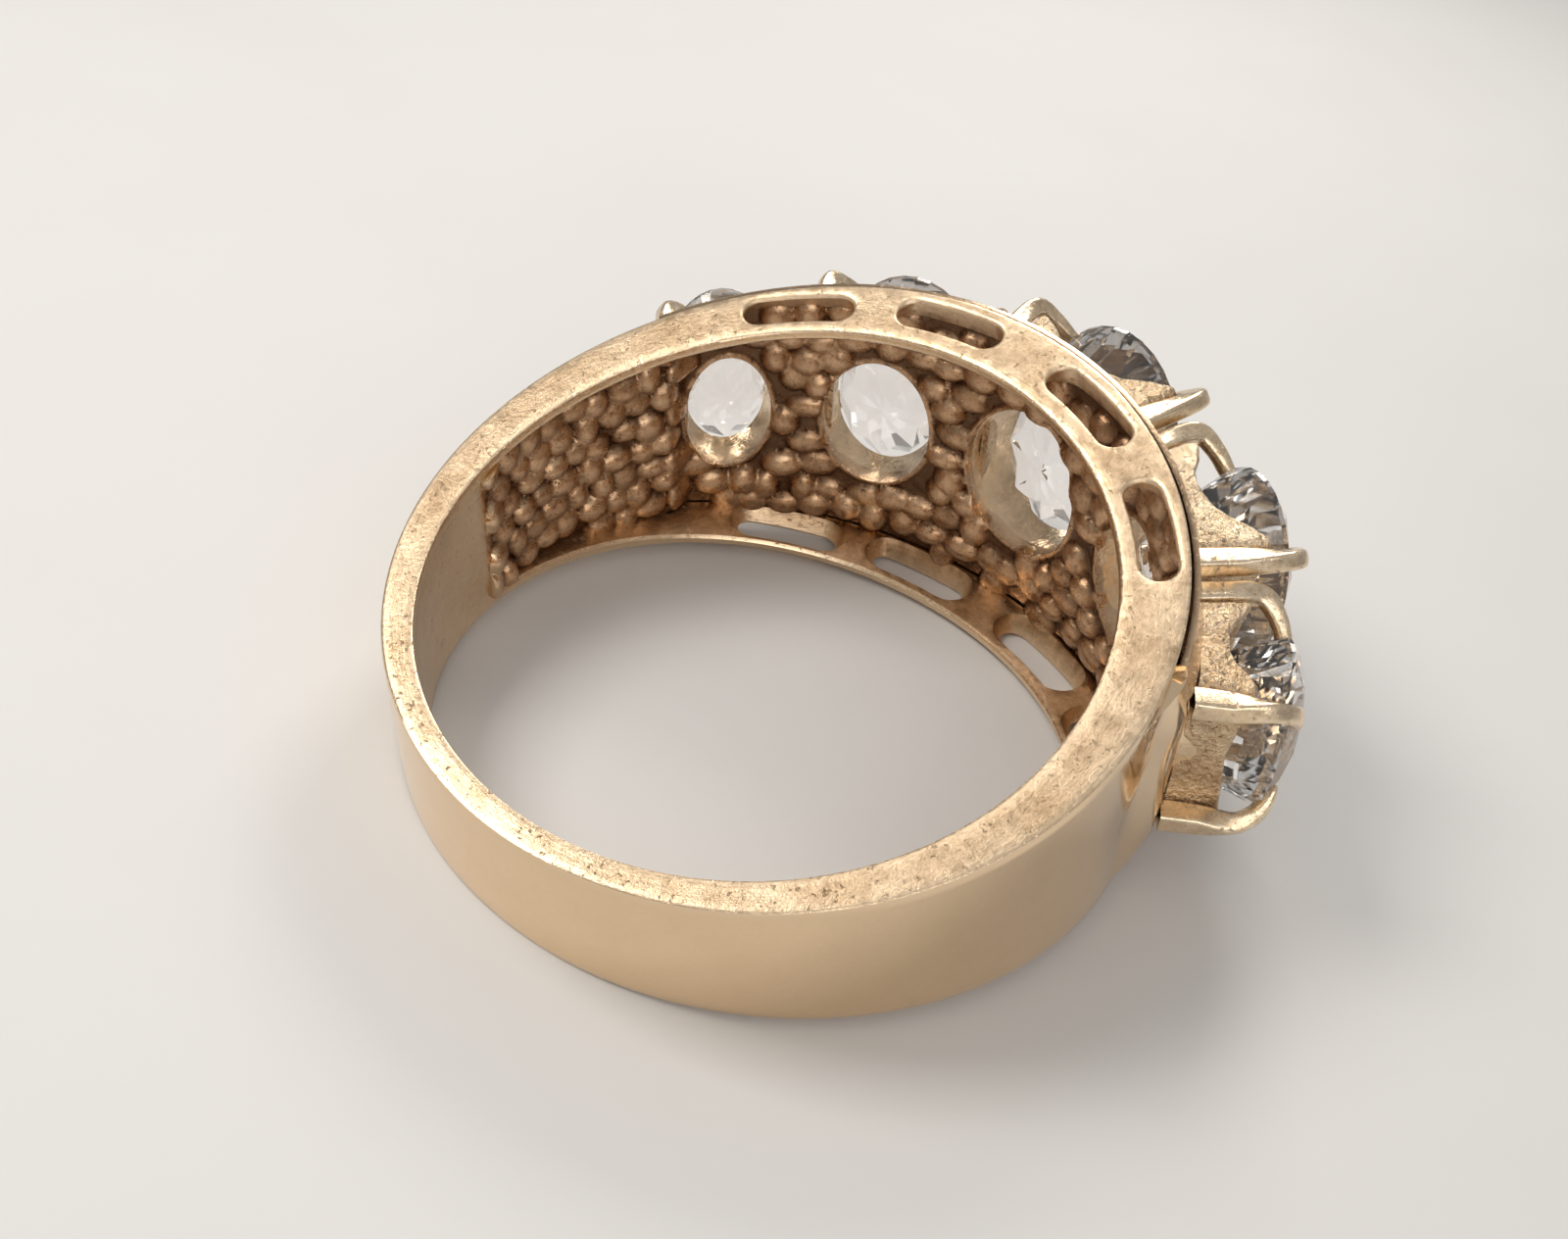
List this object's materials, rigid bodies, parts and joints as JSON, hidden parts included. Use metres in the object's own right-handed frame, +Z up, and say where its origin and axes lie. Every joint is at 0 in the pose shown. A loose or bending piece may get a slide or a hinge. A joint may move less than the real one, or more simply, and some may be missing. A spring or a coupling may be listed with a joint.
{
  "type": "five-stone ring",
  "caption": "Wide tapering gold-coloured finger ring with a row of graduated clear oval stones in claw settings on pierced side rails.",
  "frame": {"origin": "middle of the ring's box on the surface it lies on", "axes": "+Z up from that surface, +X towards the centre stone; the ring lies on its side with its finger axis tilted 9.9 degrees from +Z towards -X"},
  "size_m": [0.0252, 0.0236, 0.0103],
  "materials": {
    "band_gold": "worn pale gilding, softly polished",
    "granulated_gold": "cast granulation, darkened in the hollows",
    "claw_gold": "bright worn gilding",
    "clear_stone": "clear, faceted and polished"
  },
  "bodies": {
    "root": {"claw_centre_left_lower": "claw_gold", "claw_centre_left_upper": "claw_gold", "claw_centre_right_lower": "claw_gold", "claw_centre_right_upper": "claw_gold", "claw_left_end_left_lower": "claw_gold", "claw_left_end_left_upper": "claw_gold", "claw_left_end_right_lower": "claw_gold", "claw_left_end_right_upper": "claw_gold", "claw_left_second_left_lower": "claw_gold", "claw_left_second_left_upper": "claw_gold", "claw_left_second_right_lower": "claw_gold", "claw_left_second_right_upper": "claw_gold", "claw_right_end_left_lower": "claw_gold", "claw_right_end_left_upper": "claw_gold", "claw_right_end_right_lower": "claw_gold", "claw_right_end_right_upper": "claw_gold", "claw_right_second_left_lower": "claw_gold", "claw_right_second_left_upper": "claw_gold", "claw_right_second_right_lower": "claw_gold", "claw_right_second_right_upper": "claw_gold", "head_plate": "granulated_gold", "setting_centre": "band_gold", "setting_left_end": "band_gold", "setting_left_second": "band_gold", "setting_right_end": "band_gold", "setting_right_second": "band_gold", "shank": "band_gold", "side_rail_lower": "band_gold", "side_rail_upper": "band_gold", "stone_centre": "clear_stone", "stone_left_end": "clear_stone", "stone_left_second": "clear_stone", "stone_right_end": "clear_stone", "stone_right_second": "clear_stone"}
  },
  "joints": []
}
